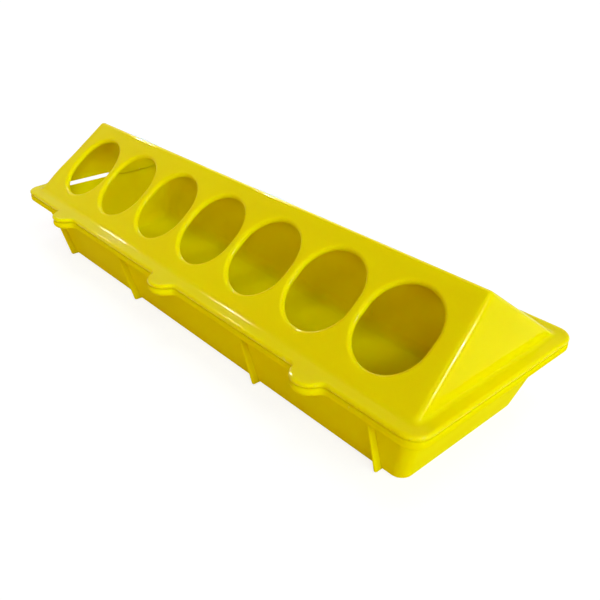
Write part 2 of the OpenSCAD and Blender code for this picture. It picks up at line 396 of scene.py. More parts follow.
class Skin:
    """The faces of one closed moulding, with coinciding points joined."""

    def __init__(self):
        self.mesh = bmesh.new()
        self.points = {}

    def point(self, place):
        """The vertex at a place, made once."""
        key = tuple(round(c / WELD) for c in place)
        if key not in self.points:
            self.points[key] = self.mesh.verts.new(place)
        return self.points[key]

    def face(self, places):
        """One face, without the corners that coincide."""
        corners = []
        for place in places:
            vert = self.point(place)
            if vert not in corners:
                corners.append(vert)
        if len(corners) > 2:
            self.mesh.faces.new(corners)

    def strip(self, first, second, closed=True):
        """Four-sided faces between two rows of as many points."""
        if len(first) != len(second):
            raise ValueError("the two rows of a strip differ in length")
        count = len(first)
        for i in range(count if closed else count - 1):
            j = (i + 1) % count
            self.face([first[i], first[j], second[j], second[i]])

    def rows(self, rows, closed=True):
        """Strips between one row and the next."""
        for first, second in zip(rows, rows[1:]):
            self.strip(first, second, closed)

    def fill(self, inner, outer):
        """Triangles between two closed loops in one plane that differ in their points."""
        near = min(range(len(outer)), key=lambda k: (outer[k] - inner[0]).length)
        outer = outer[near:] + outer[:near]
        i = j = 0
        while i < len(inner) or j < len(outer):
            a, b = inner[i % len(inner)], outer[j % len(outer)]
            next_a, next_b = inner[(i + 1) % len(inner)], outer[(j + 1) % len(outer)]
            step_inner = (next_a - b).length <= (next_b - a).length
            if j >= len(outer) or (i < len(inner) and step_inner):
                self.face([a, b, next_a])
                i += 1
            else:
                self.face([a, b, next_b])
                j += 1

    def finish(self, name):
        """The closed skin as an object."""
        bmesh.ops.recalc_face_normals(self.mesh, faces=self.mesh.faces)
        holes = [e for e in self.mesh.edges if len(e.link_faces) != 2]
        if holes:
            raise ValueError(f"the skin of {name} is open at {len(holes)} edges")
        data = bpy.data.meshes.new(name)
        self.mesh.to_mesh(data)
        self.mesh.free()
        made = bpy.data.objects.new(name, data)
        bpy.context.scene.collection.objects.link(made)
        return made


def drawn_in(outline, distance):
    """A flat outline drawn in by a distance, its corners kept."""
    count = len(outline)
    found = []
    for i, here in enumerate(outline):
        before = (here - outline[i - 1]).normalized()
        after = (outline[(i + 1) % count] - here).normalized()
        side = Vector((-before.y, before.x)) + Vector((-after.y, after.x))
        found.append(here + side * (distance / max(MITRE_LIMIT, 1 + before.dot(after))))
    return found


def closed_bar(name, rows):
    """Solid between closed rows, with both ends filled."""
    skin = Skin()
    skin.rows(rows)
    skin.face(rows[0])
    skin.face(rows[-1])
    return skin.finish(name)


def slab(name, outline, place, thickness, edge, steps=1):
    """Plate of an outline in the plane of Y and Z, standing across X at a place, with rounded edges."""
    levels = [(edge * s, thickness / 2 - edge * c) for s, c in quarter(steps)]
    rows = []
    for inset, x in [(i, -x) for i, x in levels] + levels[::-1]:
        drawn = drawn_in(outline, inset)
        rows.append([Vector((place.x + x, place.y + p.x, place.z + p.y)) for p in drawn])
    return closed_bar(name, rows)


def round_bar(name, start, end, radius, bevel):
    """Round bar between two points, with bevelled ends."""
    way = (end - start).normalized()
    side = way.orthogonal().normalized()
    other = way.cross(side)

    def ring(middle, r):
        turns = [2 * math.pi * i / PEG_STEPS for i in range(PEG_STEPS)]
        return [middle + r * (math.cos(a) * side + math.sin(a) * other) for a in turns]

    return closed_bar(name, [
        ring(start, radius - bevel), ring(start + bevel * way, radius),
        ring(end - bevel * way, radius), ring(end, radius - bevel),
    ])


def combine(body, others, operation):
    """Joins solids to a body or cuts them from it, and removes them."""
    for other in others:
        step = body.modifiers.new(operation, "BOOLEAN")
        step.operation = operation
        step.solver = "EXACT"
        step.object = other
    view = bpy.context.evaluated_depsgraph_get()
    made = bpy.data.meshes.new_from_object(body.evaluated_get(view))
    body.modifiers.clear()
    body.data = made
    for other in others:
        bpy.data.objects.remove(other)


def smooth(body, material):
    """Smooth shading with flat faces kept flat, and the body's material."""
    body.data.shade_smooth()
    body.data.set_sharp_from_angle(angle=math.radians(SHARP_ANGLE))
    normals = body.modifiers.new("Flat faces", "WEIGHTED_NORMAL")
    normals.keep_sharp = True
    normals.weight = 100
    body.data.materials.clear()
    body.data.materials.append(material)


def circle_points(radius, start, end, steps):
    """Flat arc about the origin, angles in degrees."""
    return [p for p, _ in arc((0, 0), radius, start, end, steps)]


# Lid


class Roof:
    """The ruled faces of the roof: each line runs from the foot to the rounded ridge."""

    def __init__(self, rim, lid):
        self.half_length = rim.length / 2 - rim.overhang
        self.half_width = rim.width / 2 - rim.overhang
        self.foot_z = rim.parting + rim.lid_thickness
        self.ridge_r = lid.ridge
        self.ridge_z = lid.ridge_top - lid.ridge
        self.ridge_x = self.half_length - lid.gable_lean - lid.ridge
        self.hip_x = self.half_length - lid.hip
        self.hip_y = self.half_width - lid.hip
        self.hip = lid.hip
        self.lid = lid
        foot = (0.0, -self.half_width)
        self.lean = self.tilt(foot, (0, -1), 0.0).z
        self.slope = math.acos(self.lean)
        self.length = (self.tip((0, -1), foot, 0.0) - Vector((*foot, self.foot_z))).length

    def tilt(self, foot, way, ridge_x):
        """Outward normal of the roof over a foot point whose edge faces way."""
        away = Vector((foot[0] - ridge_x, foot[1])).dot(Vector(way))
        height = self.ridge_z - self.foot_z
        rise = math.acos(self.ridge_r / math.hypot(away, height)) - math.atan2(height, away)
        return Vector((way[0] * math.cos(rise), way[1] * math.cos(rise), math.sin(rise)))

    def tip(self, way, foot, ridge_x):
        """Where the line from a foot point meets the rounding of the ridge."""
        return Vector((ridge_x, 0.0, self.ridge_z)) + self.ridge_r * self.tilt(foot, way, ridge_x)

    def line_at(self, foot, way, ridge_x):
        """Foot, tip, outward normal and outward way of one line of the roof."""
        start = Vector((foot[0], foot[1], self.foot_z))
        return (start, self.tip(way, foot, ridge_x), self.tilt(foot, way, ridge_x),
                Vector((way[0], way[1], 0.0)))

    def slope_line(self, x, y_side, ridge_x=None):
        """One line of a slope, upright unless it has another place on the ridge."""
        normal = self.tilt((0.0, y_side * self.half_width), (0, y_side), 0.0)
        tip = Vector((x if ridge_x is None else ridge_x, 0.0, self.ridge_z)) + self.ridge_r * normal
        return (Vector((x, y_side * self.half_width, self.foot_z)), tip, normal,
                Vector((0.0, y_side, 0.0)))

    def hip_lines(self, x_side, y_side):
        """Lines round one hip, from its slope to its gable."""
        found = []
        for i in range(HIP_STEPS + 1):
            a = math.pi / 2 * i / HIP_STEPS
            way = (x_side * math.sin(a), y_side * math.cos(a))
            foot = (x_side * self.hip_x + self.hip * way[0], y_side * self.hip_y + self.hip * way[1])
            found.append(self.line_at(foot, way, x_side * self.ridge_x))
        return found

    def end_lines(self, x_side, cell_end):
        """Lines round one end, from the last hole's cell in front to the one at the back."""
        front, back = self.hip_lines(x_side, -1), self.hip_lines(x_side, 1)
        gable = []
        for i in range(1, GABLE_STEPS):
            y = -self.hip_y + 2 * self.hip_y * i / GABLE_STEPS
            gable.append(self.line_at(
                (x_side * self.half_length, y), (x_side, 0), x_side * self.ridge_x))
        margins = []
        for y_side in (-1, 1):
            row = []
            for i in range(MARGIN_STEPS):
                t = i / MARGIN_STEPS
                x = x_side * (cell_end + (self.hip_x - cell_end) * t)
                ridge_x = x_side * (cell_end + (self.ridge_x - cell_end) * t)
                row.append(self.slope_line(x, y_side, ridge_x))
            margins.append(row)
        return margins[0] + front + gable + back[::-1] + margins[1][::-1]


def hole_reach(angle, radius, straight):
    """Distance from a hole's middle to its edge, and the edge's outward normal, at an angle."""
    c, s = math.cos(angle), math.sin(angle)
    if radius * abs(s) <= straight * abs(c):
        return radius / abs(c), Vector((math.copysign(1, c), 0.0))
    reach = straight * abs(s) + math.sqrt(radius ** 2 - (straight * c) ** 2)
    middle = Vector((0.0, math.copysign(straight, s)))
    return reach, (Vector((reach * c, reach * s)) - middle) / radius


def cell_stations(half):
    """Places along X on the lower and upper edge of a hole's cell, from left to right."""
    spread = math.radians(END_SPREAD)
    shares = [2 * i / HOLE_END_STEPS - 1 for i in range(HOLE_END_STEPS + 1)]
    return [half * math.tan(spread * s) / math.tan(spread) for s in shares]


def cell_rim(half, low, high):
    """Points round a hole's cell, anticlockwise from its lower right corner, measured from the hole."""
    below, above = math.atan2(low, half), math.atan2(high, half)
    turns = [-below + (below + above) * i / HOLE_SIDE_STEPS for i in range(HOLE_SIDE_STEPS + 1)]
    ups = [half * math.tan(a) for a in turns]
    xs = cell_stations(half)
    found = [Vector((half, y)) for y in ups[:-1]]
    found += [Vector((x, high)) for x in xs[:0:-1]]
    found += [Vector((-half, y)) for y in ups[:0:-1]]
    return found + [Vector((x, -low)) for x in xs[:-1]]


def hole_profile(lid):
    """The edge of a feeding hole from the roof's face to its inside: across and depth."""
    r, lip, wide, wall = lid.hole_edge, lid.hole_lip, lid.hole_lip_width, lid.wall
    lip_edge, root, land = 0.0005, 0.0006, 0.0004
    corners = [
        (Vector((r, 0.0)), Vector((0.0, 0.0)), Vector((0.0, -r)), EDGE_STEPS + 1),
        (Vector((0.0, lip_edge - lip)), Vector((0.0, -lip)), Vector((lip_edge, -lip)), 2),
        (Vector((wide - lip_edge, -lip)), Vector((wide, -lip)), Vector((wide, lip_edge - lip)), 2),
        (Vector((wide, -wall - root)), Vector((wide, -wall)), Vector((wide + root, -wall)), 2),
    ]
    found = []
    for start, corner, end, steps in corners:
        found += bend(start, corner, end, steps)
    return [Vector((r + land, 0.0))] + found + [Vector((wide + root + land, -wall))]


def add_cell(skin, roof, x, y_side, inner_low):
    """One feeding hole of a slope with its cell, outside and inside."""
    lid = roof.lid
    radius, straight = lid.hole_width / 2, (lid.hole_length - lid.hole_width) / 2
    half = (lid.hole_width + lid.hole_bridge) / 2
    up = roof.half_width / math.cos(roof.slope) / 2 - lid.hole_drop
    normal = roof.tilt((0.0, y_side * roof.half_width), (0, y_side), 0.0)
    along = Vector((0.0, -y_side * math.cos(roof.slope), math.sin(roof.slope)))
    middle = Vector((x, y_side * roof.half_width, roof.foot_z)) + up * along

    def place(p, depth):
        return middle + Vector((p.x, 0.0, 0.0)) + p.y * along + depth * normal

    outside = cell_rim(half, up - lid.foot_fillet, roof.length - up)
    inside = cell_rim(half, up - inner_low, roof.length - up)
    rows = []
    edges = []
    for p in outside:
        angle = math.atan2(p.y, p.x)
        reach, way = hole_reach(angle, radius, straight)
        edges.append((reach * Vector((math.cos(angle), math.sin(angle))), way))
    profile = hole_profile(lid)
    first = [e + profile[0].x * w for e, w in edges]
    last = [e + profile[-1].x * w for e, w in edges]
    rows.append([place(p, 0.0) for p in outside])
    rows.append([place(p.lerp(q, 0.5), 0.0) for p, q in zip(outside, first)])
    for across in profile:
        rows.append([place(e + across.x * w, across.y) for e, w in edges])
    rows.append([place(p.lerp(q, 0.5), -lid.wall) for p, q in zip(inside, last)])
    rows.append([place(p, -lid.wall) for p in inside])
    skin.rows(rows)
    return rows[0], rows[-1]


def lid_skin(rim, lid):
    """The lid as one skin, without its hooks and pegs."""
    skin = Skin()
    roof = Roof(rim, lid)
    pitch = lid.hole_width + lid.hole_bridge
    cell_end = lid.holes * pitch / 2
    top, under = roof.foot_z, rim.parting
    inner_bend, sole_edge = 0.0012, 0.0005

    def inner_foot(entry):
        """Where a line of the roof's inside meets the upright foot, and the line's way."""
        start, tip, normal, _ = entry
        way = (tip - start).normalized()
        return start - lid.wall * normal + way * (lid.wall * normal.z / way.z), way

    # Feeding holes, whose cells all have the same heights
    inner_low = lid.wall * roof.lean / math.sin(roof.slope) + inner_bend
    places = [(i - (lid.holes - 1) / 2) * pitch for i in range(lid.holes)]
    for y_side in (-1, 1):
        for x in places:
            outer, inner = add_cell(skin, roof, x, y_side, inner_low)
    xs = [x + step for x in places for step in cell_stations(pitch / 2)[:-1]] + [cell_end]

    # Ends of the roof, outside and inside, level with the points beside the outer holes
    rise = roof.length * math.sin(roof.slope)
    sides = HOLE_SIDE_STEPS + 1
    outer_shares = [(p.z - top) / rise for p in outer[:sides]]
    low, high = inner[0].z, inner[sides - 1].z
    inner_shares = [(p.z - low) / (high - low) for p in inner[:sides]]
    ends = {side: roof.end_lines(side, cell_end) for side in (-1, 1)}
    for lines in ends.values():
        outer_ends = [entry[:2] for entry in lines]
        inner_ends = []
        for entry in lines:
            foot, way = inner_foot(entry)
            inner_ends.append((foot + inner_bend * way, entry[1] - lid.wall * entry[2]))
        for pairs, shares in ((outer_ends, outer_shares), (inner_ends, inner_shares)):
            skin.rows([[a.lerp(b, share) for a, b in pairs] for share in shares], closed=False)

    # Rounded ridge, outside and inside, with its ends
    spans = 2 * HIP_STEPS
    turn = 2 * roof.slope

    def over(x, radius):
        """Points over the ridge at a place along it, from front to back."""
        turns = [turn * (i / spans - 0.5) for i in range(spans + 1)]
        return [Vector((x, radius * math.sin(a), roof.ridge_z + radius * math.cos(a))) for a in turns]

    reach = roof.ridge_x - cell_end
    margins = [cell_end + reach * i / MARGIN_STEPS for i in range(1, MARGIN_STEPS + 1)]
    stations = [-m for m in margins[::-1]] + xs + margins
    for radius in (roof.ridge_r, roof.ridge_r - lid.wall):
        skin.rows([over(x, radius) for x in stations], closed=False)
        for x_side in (-1, 1):
            middle = Vector((x_side * roof.ridge_x, 0.0, roof.ridge_z))
            hips = roof.hip_lines(x_side, -1) + roof.hip_lines(x_side, 1)[-2::-1]
            ways = [((a - middle).normalized(), e[2]) for a, e in zip(over(middle.x, radius), hips)]
            rows = []
            for k in range(EDGE_STEPS + 1):
                rows.append([middle + radius * a.lerp(n, k / EDGE_STEPS).normalized() for a, n in ways])
            skin.rows(rows, closed=False)

    # Foot of the roof in one loop, anticlockwise from the front's left: hollow outside, knee inside
    slopes = {side: [roof.slope_line(x, side) for x in xs] for side in (-1, 1)}
    loop = slopes[-1] + ends[1][1:-1] + slopes[1][::-1] + ends[-1][-2:0:-1]
    bends = []
    for entry in loop:
        start, tip, _, out = entry
        knee, way = inner_foot(entry)
        sole = Vector((knee.x, knee.y, under))
        hollow = bend(start.lerp(tip, outer_shares[0]), start, start + lid.foot_fillet * out, FOOT_STEPS)
        inside = bend(knee + inner_bend * way, knee, knee - inner_bend * UP, 3)
        inside += bend(sole + sole_edge * UP, sole, sole + sole_edge * out, 2)
        bends.append((hollow, inside))
    foot_rows = [list(row) for row in zip(*[hollow for hollow, _ in bends])]
    sole_rows = [list(row) for row in zip(*[inside for _, inside in bends])]
    skin.rows(foot_rows)
    skin.rows(sole_rows)

    # Rim with the ears
    rows = rim_rows(rim, top, under, rim.lid_edge, rim.parting_edge)
    skin.rows(rows)
    skin.fill(foot_rows[-1], rows[0])
    skin.fill(sole_rows[-1], rows[-1])
    return skin.finish("lid_moulding")


def hinge_root(rim, hinge):
    """Where hooks and lugs begin inside the rims, measured across from the pins."""
    return -(HINGE.y - rim.width / 2 + hinge.root)


def lid_hook(name, x, rim, hinge):
    """Hook behind the lid's rim that turns on a pin."""
    bore = hinge.pin / 2 + hinge.clearance
    outer = bore + hinge.hook
    mouth = hinge.mouth / 2
    low, high = STAND_OFF, rim.lid_thickness - STAND_OFF
    root = hinge_root(rim, hinge)
    at_mouth = math.degrees(math.asin(mouth / outer))
    at_bore = math.degrees(math.asin(mouth / bore))
    shoulder = 180 - math.degrees(math.asin(high / outer))
    foot = 180 - math.degrees(math.asin(low / outer))
    outline = circle_points(outer, -90 + at_mouth, shoulder, EAR_STEPS)
    outline += [Vector((root, high)), Vector((root, low))]
    outline += circle_points(outer, foot, 270 - at_mouth, EDGE_STEPS + 3)
    outline += circle_points(bore, 270 - at_bore, at_bore - 90, EAR_STEPS)
    return slab(name, outline, Vector((x, HINGE.y, HINGE.z)), hinge.hook_width, PLATE_BEVEL)


def gape(rim, y):
    """Share by which the rims stand apart at a place across the left end."""
    across = y / rim.width
    return ease((across - GAPE_START) / GAPE_REACH) * (1 - ease((across - GAPE_FADE) / GAPE_REACH))


def end_lift(rim, lid, p):
    """How far the lid springs up at a point, most in the middle of its left end."""
    top = rim.parting + rim.lid_thickness
    share = min(1.0, max(0.0, (p.z - top) / (lid.ridge_top - top)))
    end = ease((-p.x / rim.length - BEND_START) / BEND_REACH)
    return lid.lift * end * gape(rim, p.y) * (1 - share) ** BEND_FADE


def build_lid(rim, lid, hinge, finish):
    """The lid's moulding with its hooks and pegs."""
    body = lid_skin(rim, lid)
    others = []
    for i, x in enumerate(ear_places(rim)):
        others.append(lid_hook(f"hook_{i}", x, rim, hinge))
        middle = Vector((x, rim.ear_setback - rim.width / 2, rim.parting))
        others.append(round_bar(
            f"peg_{i}", middle - rim.peg_length * UP, middle + rim.lid_thickness / 2 * UP,
            rim.peg / 2, PEG_BEVEL))
    combine(body, others, "UNION")
    for vert in body.data.vertices:
        vert.co.z += end_lift(rim, lid, vert.co)
    smooth(body, moulded_plastic("lid_plastic", finish, finish.lid_gloss, seed=3.0))
    return body


# Trough


def trough_skin(rim, trough):
    """The trough as one skin, without its ribs and lugs."""
    skin = Skin()
    top, wall = rim.parting, trough.wall
    length, width = rim.length - 2 * trough.overhang, rim.width - 2 * trough.overhang

    def tub(z, inset, radius):
        """Outline of the walls' outside at a height, drawn in by inset."""
        down = (top - z) / top
        long = length - 2 * (trough.end_lean * down + inset)
        wide = width - 2 * (trough.side_lean * down + inset)
        return [Vector((p.x, p.y, z)) for p, _ in box_outline(long, wide, radius, TUB_STEPS)]

    # Inside, from the floor up over the edge of the mouth
    inner_r = trough.corner - wall
    fillet, edge = trough.floor_fillet, 0.0008
    rows = [tub(wall + fillet * c, wall + fillet * s, inner_r) for s, c in quarter(FOOT_STEPS)]
    rows += [tub(top - edge * s, wall - edge * c, inner_r) for s, c in quarter(EDGE_STEPS - 1)]
    skin.rows(rows)
    skin.face(rows[0])

    # Rim with the ears
    low = top - rim.trough_depth
    edge_rows = rim_rows(rim, top, low, rim.parting_edge, rim.lip_edge)
    skin.rows(edge_rows)
    skin.fill(rows[-1], edge_rows[0])

    # Underside of the rim: the lip's inside, the flat part, and the wall down to the ground
    ceiling = top - rim.trough_thickness
    plain = box_outline(rim.length, rim.width, rim.corner)
    soft, root, foot = 0.0005, 0.001, trough.foot
    lip_rows = [at_height(plain, rim.lip - soft, low), at_height(plain, rim.lip, low + soft),
                at_height(plain, rim.lip, ceiling - soft), at_height(plain, rim.lip + soft, ceiling)]
    skin.rows(lip_rows)
    skin.fill(lip_rows[0], edge_rows[-1])
    wall_rows = [tub(ceiling - root * c, -root * s, trough.corner) for s, c in quarter(EDGE_STEPS - 1)]
    wall_rows += [tub(foot * s, foot * c, trough.corner) for s, c in quarter(EDGE_STEPS)]
    skin.rows(wall_rows)
    skin.fill(wall_rows[0], lip_rows[-1])
    skin.face(wall_rows[-1])
    return skin.finish("trough_moulding")


def rib_outline(rim, trough):
    """Rib under the rim on the back, in the plane of Y and Z."""
    wall_top = rim.width / 2 - trough.overhang
    wall_foot = wall_top - trough.side_lean
    out = wall_top + trough.rib_head
    high = rim.parting - rim.trough_thickness / 2
    foot = Vector((wall_foot + trough.rib_foot, STAND_OFF))
    shoulder = Vector((out, rim.parting - rim.trough_depth + rim.lip_edge))
    toe = 0.0014
    start = foot + toe * Vector((-1.0, 0.0))
    end = foot + toe * (shoulder - foot).normalized()
    outline = [Vector((wall_foot - trough.wall / 2 - trough.foot, STAND_OFF))]
    outline += bend(start, foot, end, EDGE_STEPS)
    outline += [shoulder, Vector((out, high)), Vector((wall_top - trough.wall / 2, high))]
    return outline


def ear_block(rim, trough):
    """Section of the block that fills the rim behind an ear, in the plane of Y and Z."""
    low, high = rim.parting - rim.trough_depth + STAND_OFF, rim.parting - rim.trough_thickness / 2
    front = -rim.width / 2 + rim.lip / 2
    back = -rim.width / 2 + trough.overhang + trough.wall / 2
    return [Vector((front, low)), Vector((back, low)), Vector((back, high)), Vector((front, high))]


def lug_outline(rim, hinge):
    """Lug behind the trough's rim, about the pin that it holds, in the plane of Y and Z."""
    root = hinge_root(rim, hinge)
    arm = LUG_ARM * hinge.lug_end
    drop = math.degrees(math.asin(arm / hinge.lug_end))
    outline = [Vector((root, -STAND_OFF)), Vector((root, -arm))]
    return outline + circle_points(hinge.lug_end, -180 + drop, LUG_TURN, EAR_STEPS)


def build_trough(rim, trough, hinge, finish):
    """The trough's moulding with its ribs, solid ears, lugs and pins."""
    body = trough_skin(rim, trough)
    others = []
    outer = rim.length / 2 - trough.rib_inset
    back = rib_outline(rim, trough)
    front = [Vector((-p.x, p.y)) for p in back[::-1]]
    for i, x in enumerate((-outer, -trough.rib_inner, trough.rib_inner, outer)):
        for side, outline in (("back", back), ("front", front)):
            others.append(slab(
                f"{side}_rib_{i}", outline, Vector((x, 0, 0)), trough.rib, trough.rib_edge, EDGE_STEPS))

    block, lug = ear_block(rim, trough), lug_outline(rim, hinge)
    apart = hinge.hook_width / 2 + hinge.play + hinge.lug / 2
    reach = Vector((apart + hinge.lug / 4, 0.0, 0.0))
    bore = rim.peg / 2 + rim.peg_clearance
    holes = []
    for i, x in enumerate(ear_places(rim)):
        others.append(slab(f"ear_{i}", block, Vector((x, 0, 0)), EAR_BLOCK * rim.ear, PLATE_BEVEL))
        for side in (-1, 1):
            place = Vector((x + side * apart, HINGE.y, HINGE.z))
            others.append(slab(f"lug_{i}_{side}", lug, place, hinge.lug, PLATE_BEVEL))
        pin = Vector((x, HINGE.y, HINGE.z))
        others.append(round_bar(f"pin_{i}", pin - reach, pin + reach, hinge.pin / 2, PIN_BEVEL))
        ear = Vector((x, rim.ear_setback - rim.width / 2, rim.parting))
        holes.append(round_bar(
            f"bore_{i}", ear - BORE_REACH * UP, ear + BORE_REACH * UP, bore, PIN_BEVEL))
    combine(body, others, "UNION")
    combine(body, holes, "DIFFERENCE")

    # The left rim hangs down where the lid's end is lifted
    lip_foot = rim.parting - rim.trough_depth
    shelf = trough.overhang + trough.wall
    for vert in body.data.vertices:
        out = min(1.0, (-vert.co.x - rim.length / 2) / shelf + 1)
        if out > 0 and vert.co.z > lip_foot - WELD:
            vert.co.z -= trough.droop * out * gape(rim, vert.co.y)
    smooth(body, moulded_plastic("trough_plastic", finish, finish.trough_gloss, seed=11.0))
    return body


# Materials


def node_group(name, inputs, outputs):
    """An empty shader node group with named sockets."""
    group = bpy.data.node_groups.new(name, "ShaderNodeTree")
    for socket, kind, default in inputs:
        made = group.interface.new_socket(name=socket, in_out="INPUT", socket_type=kind)
        made.default_value = default
    for socket, kind in outputs:
        group.interface.new_socket(name=socket, in_out="OUTPUT", socket_type=kind)
    return group, group.nodes.new("NodeGroupInput").outputs, group.nodes.new("NodeGroupOutput").inputs


def add_node(tree, kind, values=None, **settings):
    """Shader node with its settings, each of whose inputs takes a value or another node's output."""
    made = tree.nodes.new(f"ShaderNode{kind}")
    for name, setting in settings.items():
        setattr(made, name, setting)
    for socket, value in (values or {}).items():
        if isinstance(value, bpy.types.NodeSocket):
            tree.links.new(value, made.inputs[socket])
        else:
            made.inputs[socket].default_value = value
    return made


def maths(tree, operation, *values):
    """Output of one operation on values or other nodes' outputs."""
    return add_node(tree, "Math", dict(enumerate(values)), operation=operation).outputs["Value"]


def noise(tree, place, seed, scale, detail):
    """Output of a noise over the surface, which differs with its seed."""
    values = {"Vector": place, "W": seed, "Scale": scale, "Detail": detail}
    return add_node(tree, "TexNoise", values, noise_dimensions="4D").outputs["Fac"]


def moulded_grain():
    """Group: the fine orange peel and the long shallow waves of a moulded skin, as a height."""
    name = "Moulded grain"
    if name in bpy.data.node_groups:
        return bpy.data.node_groups[name]
    group, given, out = node_group(
        name,
        [("Seed", "NodeSocketFloat", 0.0), ("Peel scale", "NodeSocketFloat", 700.0),
         ("Wave scale", "NodeSocketFloat", 32.0), ("Wave share", "NodeSocketFloat", 0.5)],
        [("Height", "NodeSocketFloat")])
    place = add_node(group, "TexCoord").outputs["Object"]
    peel = noise(group, place, given["Seed"], given["Peel scale"], detail=2.0)
    wave = noise(group, place, given["Seed"], given["Wave scale"], detail=1.0)
    both = add_node(group, "Mix", {"Factor": given["Wave share"], "A": peel, "B": wave})
    group.links.new(both.outputs["Result"], out["Height"])
    return group


def pigment_drift():
    """Group: how pigment and gloss drift along the flow of the plastic."""
    name = "Pigment drift"
    if name in bpy.data.node_groups:
        return bpy.data.node_groups[name]
    group, given, out = node_group(
        name,
        [("Seed", "NodeSocketFloat", 0.0), ("Plain", "NodeSocketColor", (0.8, 0.7, 0.0, 1.0)),
         ("Deep", "NodeSocketColor", (0.7, 0.6, 0.0, 1.0)), ("Roughness", "NodeSocketFloat", 0.3),
         ("Gloss drift", "NodeSocketFloat", 0.08)],
        [("Color", "NodeSocketColor"), ("Roughness", "NodeSocketFloat")])
    place = add_node(group, "TexCoord").outputs["Object"]
    stretched = add_node(group, "Mapping", {"Vector": place, "Scale": (9.0, 30.0, 30.0)})
    flow = noise(group, stretched.outputs["Vector"], given["Seed"], scale=1.0, detail=3.0)
    widened = add_node(group, "MapRange", {"Value": flow, "From Min": 0.35, "From Max": 0.65})
    spread = widened.outputs["Result"]
    tone = add_node(
        group, "Mix", {"Factor": spread, "A": given["Plain"], "B": given["Deep"]}, data_type="RGBA")
    group.links.new(tone.outputs["Result"], out["Color"])
    centred = maths(group, "SUBTRACT", spread, 0.5)
    gloss = maths(group, "MULTIPLY_ADD", centred, given["Gloss drift"], given["Roughness"])
    group.links.new(gloss, out["Roughness"])
    return group


def rim_scuffs():
    """Group: mask of the small pale scuffs along the parting line."""
    name = "Rim scuffs"
    if name in bpy.data.node_groups:
        return bpy.data.node_groups[name]
    group, given, out = node_group(
        name,
        [("Seed", "NodeSocketFloat", 0.0), ("Parting height", "NodeSocketFloat", 0.0459),
         ("Reach", "NodeSocketFloat", 0.003), ("Amount", "NodeSocketFloat", 0.5)],
        [("Mask", "NodeSocketFloat")])
    place = add_node(group, "TexCoord").outputs["Object"]
    height = add_node(group, "SeparateXYZ", {"Vector": place}).outputs["Z"]
    away = maths(group, "ABSOLUTE", maths(group, "SUBTRACT", height, given["Parting height"]))
    near = add_node(
        group, "MapRange", {"Value": away, "From Max": given["Reach"], "To Min": 1.0, "To Max": 0.0})
    specks = noise(group, place, given["Seed"], scale=260.0, detail=2.0)
    picked = add_node(group, "MapRange", {"Value": specks, "From Min": 0.67, "From Max": 0.74})
    joined = maths(group, "MULTIPLY", near.outputs["Result"], picked.outputs["Result"])
    group.links.new(maths(group, "MULTIPLY", joined, given["Amount"]), out["Mask"])
    return group


def moulded_plastic(name, finish, gloss, seed):
    """Glossy pigmented plastic with a moulded skin."""
    material = bpy.data.materials.new(name)
    material.use_nodes = True
    tree = material.node_tree
    shader = tree.nodes["Principled BSDF"]
    shader.inputs["IOR"].default_value = PLASTIC_IOR
    shader.inputs["Specular IOR Level"].default_value = gloss
    shader.subsurface_method = "RANDOM_WALK"
    shader.inputs["Subsurface Weight"].default_value = finish.glow
    shader.inputs["Subsurface Radius"].default_value = GLOW_RADIUS
    shader.inputs["Subsurface Scale"].default_value = GLOW_DEPTH

    def place(group, values):
        """The outputs of a node group in this material, with its own values."""
        return add_node(tree, "Group", {"Seed": seed, **values}, node_tree=group).outputs

    drift = place(pigment_drift(), {
        "Plain": (*finish.plastic, 1.0), "Deep": (*finish.deep, 1.0),
        "Roughness": finish.roughness, "Gloss drift": 0.03})
    scuffs = place(rim_scuffs(), {"Parting height": HINGE.z, "Reach": 0.0032, "Amount": 0.35})
    grain = place(moulded_grain(), {"Peel scale": 620.0, "Wave scale": 38.0, "Wave share": 0.55})
    scuffed = (*finish.scuffed, 1.0)
    worn = add_node(
        tree, "Mix", {"Factor": scuffs["Mask"], "A": drift["Color"], "B": scuffed}, data_type="RGBA")
    bump = add_node(
        tree, "Bump", {"Strength": GRAIN_STRENGTH, "Distance": GRAIN_DEPTH, "Height": grain["Height"]})
    tree.links.new(worn.outputs["Result"], shader.inputs["Base Color"])
    tree.links.new(drift["Roughness"], shader.inputs["Roughness"])
    tree.links.new(bump.outputs["Normal"], shader.inputs["Normal"])
    return material


# Stage


def mix_by_ray(tree, lighting, seen):
    """One shader that lights the feeder, and another for camera, glossy and transmission rays."""
    path = add_node(tree, "LightPath").outputs
    direct = maths(tree, "MAXIMUM", path["Is Camera Ray"], path["Is Glossy Ray"])
    share = maths(tree, "MAXIMUM", direct, path["Is Transmission Ray"])
    return add_node(tree, "MixShader", {"Fac": share, 1: lighting, 2: seen}).outputs["Shader"]


def floor_material(colour):
    """Pale floor that looks white and keeps a soft shadow."""
    material = bpy.data.materials.new("pale_floor")
    material.use_nodes = True
    tree = material.node_tree
    tree.nodes.clear()
    plain = add_node(tree, "BsdfDiffuse", {"Color": (*colour, 1.0)})
    faint = add_node(tree, "BsdfDiffuse", {"Color": FLOOR_SEEN})
    white = add_node(tree, "Emission", {"Strength": FLOOR_GLOW})
    seen = add_node(tree, "AddShader", {0: faint.outputs["BSDF"], 1: white.outputs["Emission"]})
    mix = mix_by_ray(tree, plain.outputs["BSDF"], seen.outputs["Shader"])
    add_node(tree, "OutputMaterial", {"Surface": mix})
    return material


def lamp_way(azimuth, elevation):
    """Direction to a lamp, with its azimuth from +X towards +Y, both in degrees."""
    a, e = math.radians(azimuth), math.radians(elevation)
    return Vector((math.cos(e) * math.cos(a), math.cos(e) * math.sin(a), math.sin(e)))


